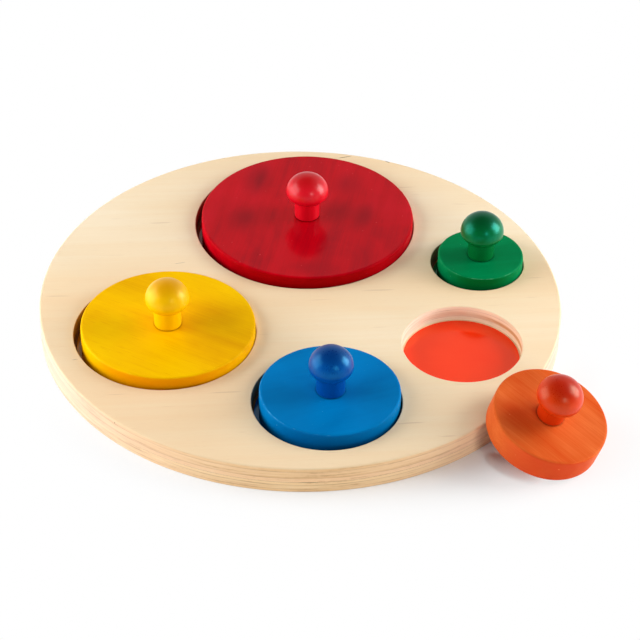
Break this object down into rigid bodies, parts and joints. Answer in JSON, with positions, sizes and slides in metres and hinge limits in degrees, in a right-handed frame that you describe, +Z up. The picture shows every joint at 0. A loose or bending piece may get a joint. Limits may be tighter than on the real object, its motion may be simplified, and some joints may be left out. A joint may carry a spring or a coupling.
{
  "type": "circle sorter toy",
  "caption": "Round plywood sorting board with round coloured recesses and stained wooden discs that lift out by turned knobs; the orange disc is out and leans on the rim.",
  "frame": {"origin": "centre of the board's underside, where it stands on the table", "axes": "+Z up out of the recesses, +Y towards the largest (red) recess, +X to the right as a child sits at the blue recess's side"},
  "size_m": [0.3173, 0.3, 0.0523],
  "materials": {
    "birch_plywood": "satin clear lacquer on pale birch plywood",
    "red_stained_wood": "satin, crimson stain",
    "yellow_stained_wood": "satin, golden yellow stain",
    "blue_stained_wood": "satin, azure stain",
    "orange_stained_wood": "satin, orange stain",
    "green_stained_wood": "satin, emerald stain",
    "red_paint": "smooth opaque paint film",
    "yellow_paint": "smooth opaque paint film",
    "blue_paint": "smooth opaque paint film",
    "orange_paint": "smooth opaque paint film",
    "green_paint": "smooth opaque paint film"
  },
  "bodies": {
    "board": {"base_board": "birch_plywood", "frame_board": "birch_plywood", "red_spot": "red_paint", "yellow_spot": "yellow_paint", "blue_spot": "blue_paint", "orange_spot": "orange_paint", "green_spot": "green_paint"},
    "red_insert": {"red_disc": "red_stained_wood", "red_knob": "red_stained_wood"},
    "yellow_insert": {"yellow_disc": "yellow_stained_wood", "yellow_knob": "yellow_stained_wood"},
    "blue_insert": {"blue_disc": "blue_stained_wood", "blue_knob": "blue_stained_wood"},
    "orange_insert": {"orange_disc": "orange_stained_wood", "orange_knob": "orange_stained_wood"},
    "green_insert": {"green_disc": "green_stained_wood", "green_knob": "green_stained_wood"}
  },
  "joints": [
    {"name": "red_lift", "type": "slide", "parent": "board", "child": "red_insert", "axis": [0, 0, 1], "range_m": [0, 0.06]},
    {"name": "yellow_lift", "type": "slide", "parent": "board", "child": "yellow_insert", "axis": [0, 0, 1], "range_m": [0, 0.06]},
    {"name": "blue_lift", "type": "slide", "parent": "board", "child": "blue_insert", "axis": [0, 0, 1], "range_m": [0, 0.06]},
    {"name": "orange_lift", "type": "slide", "parent": "board", "child": "orange_insert", "axis": [0.2427, -0.1849, 0.9523], "range_m": [0, 0.06]},
    {"name": "green_lift", "type": "slide", "parent": "board", "child": "green_insert", "axis": [0, 0, 1], "range_m": [0, 0.06]}
  ]
}
